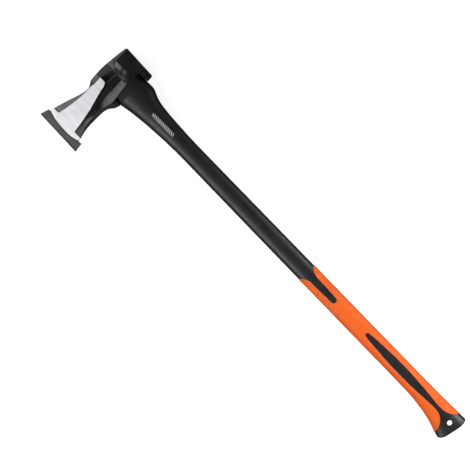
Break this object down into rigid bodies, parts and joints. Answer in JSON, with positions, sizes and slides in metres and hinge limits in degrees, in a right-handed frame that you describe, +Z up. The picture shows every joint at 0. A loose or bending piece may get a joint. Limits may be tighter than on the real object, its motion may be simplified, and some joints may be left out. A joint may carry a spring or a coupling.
{
  "type": "felling axe",
  "caption": "Long-handled axe with a wedge-shaped steel head, black handle with an orange grip, and a push-on edge guard.",
  "frame": {"origin": "middle of the overall box in X and Y, on the surface the axe lies on (Z = 0)", "axes": "+X from the head along the handle to the butt, -Y from the poll towards the cutting edge, +Z up, square to the axe's plane of symmetry"},
  "size_m": [0.9163, 0.1934, 0.0537],
  "materials": {
    "axe_head": "black semi-gloss paint with the cheeks ground bright",
    "eye_resin": "cast epoxy",
    "glass_fibre_core": "pultruded glass fibre",
    "shoulder_collar": "satin",
    "handle_shell": "satin",
    "grip_overmould": "soft satin",
    "edge_guard": "satin"
  },
  "bodies": {
    "axe": {"axe_head": "axe_head", "eye_resin": "eye_resin", "glass_fibre_core": "glass_fibre_core", "shoulder_collar": "shoulder_collar", "handle_shell": "handle_shell", "grip_overmould": "grip_overmould"},
    "guard": {"edge_guard": "edge_guard"}
  },
  "joints": [
    {"name": "guard_pull", "type": "slide", "parent": "axe", "child": "guard", "axis": [0, -1, 0], "range_m": [0, 0.05]}
  ]
}
